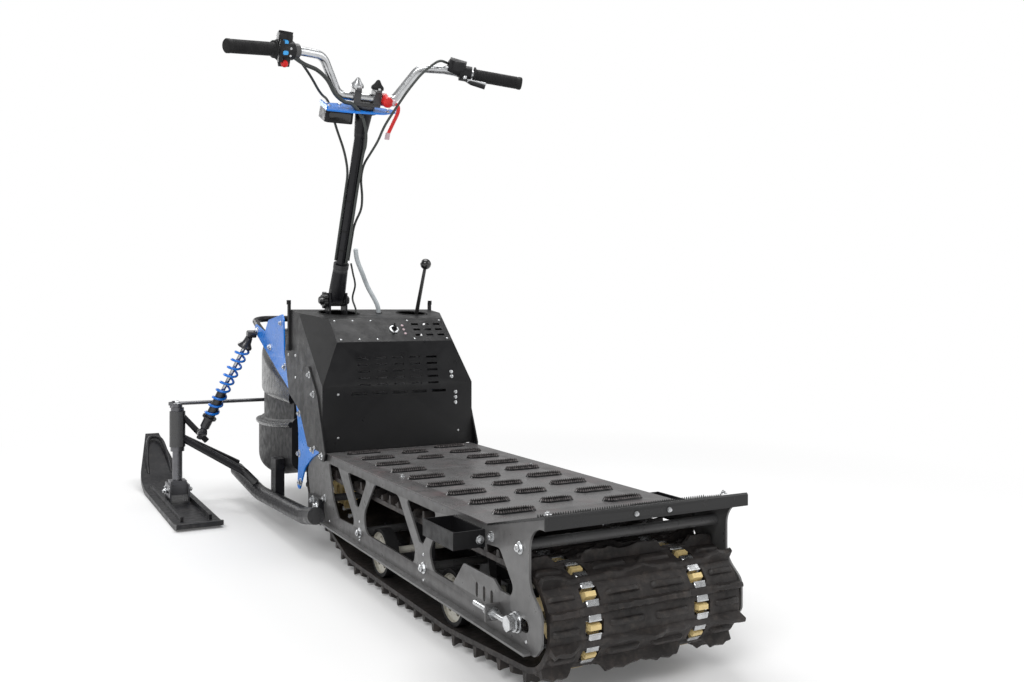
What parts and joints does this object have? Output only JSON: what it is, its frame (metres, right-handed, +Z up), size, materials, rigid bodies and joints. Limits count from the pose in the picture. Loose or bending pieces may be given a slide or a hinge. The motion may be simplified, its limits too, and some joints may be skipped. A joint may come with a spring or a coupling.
{
  "type": "compact snowmobile",
  "caption": "Stand-on compact snowmobile: slotted footboard over a single rubber track, truss side plates, engine box, folding steering mast with handlebar and two steered skis.",
  "frame": {"origin": "on the ground, at the middle of the overall length and of the ski-to-ski width", "axes": "+Y forward, +X to the rider's right, +Z up"},
  "size_m": [0.97, 2.4873, 1.2862],
  "materials": {
    "plate_paint": "satin",
    "deck_sheet": "satin",
    "black_gloss": "gloss",
    "black_plastic": "matte",
    "zinc": "satin",
    "track_rubber": "matte",
    "sprocket_plastic": "satin",
    "wheel_plastic": "satin",
    "rail_plastic": "satin",
    "hood_paint": "satin",
    "engine_alloy": "satin",
    "rubber": "matte",
    "lever_black": "gloss",
    "black_steel": "satin",
    "bar_alloy": "satin",
    "blue_paint": "gloss",
    "red_plastic": "gloss",
    "cable_sheath": "satin",
    "hose_plastic": "satin",
    "cowl_plastic": "satin",
    "lamp_glass": "gloss",
    "ski_plastic": "satin",
    "spindle_steel": "satin",
    "shock_body": "gloss"
  },
  "bodies": {
    "frame": {"cross_shafts": "zinc", "drive_axle": "zinc", "drive_sprockets": "sprocket_plastic", "engine_block": "engine_alloy", "footboard": "deck_sheet", "front_brackets": "blue_paint", "front_road_wheels": "wheel_plastic", "green_lead": "cable_sheath", "headlight": "lamp_glass", "hood_control_band": "hood_paint", "hood_front": "hood_paint", "hood_latches": "rubber", "hood_rear": "hood_paint", "hood_sides": "hood_paint", "hood_straps": "hood_paint", "hood_top": "hood_paint", "hose_lead": "hose_plastic", "kick_bar": "black_gloss", "lower_beams": "black_steel", "mast_base": "black_steel", "mast_knob": "lever_black", "nose_cowl": "cowl_plastic", "nose_crossbar": "black_steel", "nose_hull": "black_plastic", "nose_rail": "black_steel", "rear_axle": "zinc", "rear_road_wheels": "wheel_plastic", "rear_sprockets": "sprocket_plastic", "shift_lever": "lever_black", "shocks": "shock_body", "side_plate_left": "plate_paint", "side_plate_right": "plate_paint", "side_pockets": "black_plastic", "slide_rails": "rail_plastic", "suspension_arms": "black_steel", "track_belt": "track_rubber"},
    "mast_foot": {"mast_foot": "black_steel"},
    "handlebar": {"steering_mast": "black_steel", "handlebar": "bar_alloy", "grips": "rubber", "bar_clamps": "black_steel", "dash_plate": "blue_paint", "dash_unit": "black_plastic", "switch_cluster": "black_plastic", "brake_lever": "black_steel", "throttle": "black_plastic", "kill_switch": "red_plastic", "brake_cable": "cable_sheath", "throttle_cable": "cable_sheath"},
    "ski_left": {"ski_left": "ski_plastic", "ski_spindle_left": "spindle_steel"},
    "ski_right": {"ski_right": "ski_plastic", "ski_spindle_right": "spindle_steel"},
    "tie_rod": {"tie_rod": "spindle_steel"}
  },
  "joints": [
    {"name": "mast_fold", "type": "hinge", "parent": "frame", "child": "mast_foot", "pos_m": [-0.098, 0.0867, 0.652], "axis": [1, 0, 0], "range_deg": [0, 65]},
    {"name": "steering", "type": "hinge", "parent": "mast_foot", "child": "handlebar", "pos_m": [-0.098, 0.0867, 0.652], "axis": [0, -0.4226, 0.9063], "range_deg": [-25, 25]},
    {"name": "ski_left_steer", "type": "hinge", "parent": "frame", "child": "ski_left", "pos_m": [-0.42, 0.6937, 0], "axis": [0, 0, 1], "range_deg": [-22.5, 22.5]},
    {"name": "ski_right_steer", "type": "hinge", "parent": "frame", "child": "ski_right", "pos_m": [0.42, 0.6937, 0], "axis": [0, 0, 1], "range_deg": [-22.5, 22.5]},
    {"name": "tie_rod_slide", "type": "slide", "parent": "frame", "child": "tie_rod", "axis": [1, 0, 0], "range_m": [-0.0296, 0.0296]}
  ],
  "couplings": [
    {"joint": "ski_left_steer", "follows": "steering", "ratio": 0.88},
    {"joint": "ski_right_steer", "follows": "steering", "ratio": 0.88},
    {"joint": "tie_rod_slide", "follows": "steering", "m_per_rad": -0.066966}
  ]
}
